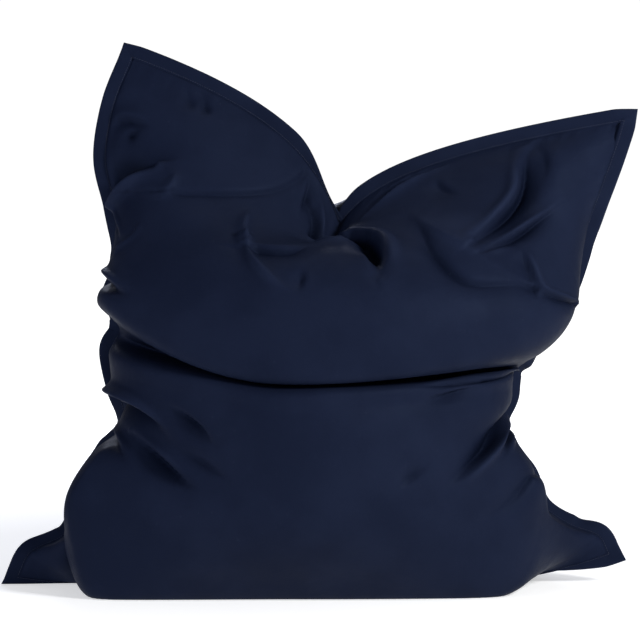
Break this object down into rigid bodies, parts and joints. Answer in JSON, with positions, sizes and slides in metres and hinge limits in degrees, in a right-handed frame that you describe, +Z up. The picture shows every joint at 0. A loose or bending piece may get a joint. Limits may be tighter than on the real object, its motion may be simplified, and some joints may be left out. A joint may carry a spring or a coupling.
{
  "type": "giant bean bag",
  "caption": "Large filled cushion of sewn cloth panels, standing upright with its top pushed in between raised corners and a flat topstitched hem all round.",
  "frame": {"origin": "middle of the bounding box at floor level", "axes": "+X to the right as seen from the front, along the width; +Y to the back; +Z up, towards the raised top corners"},
  "size_m": [1.3242, 0.731, 1.1372],
  "materials": {
    "cover": "dark navy coated polyester cloth, smooth with a soft satin sheen"
  },
  "bodies": {
    "root": {"bean_bag": "cover"}
  },
  "joints": []
}
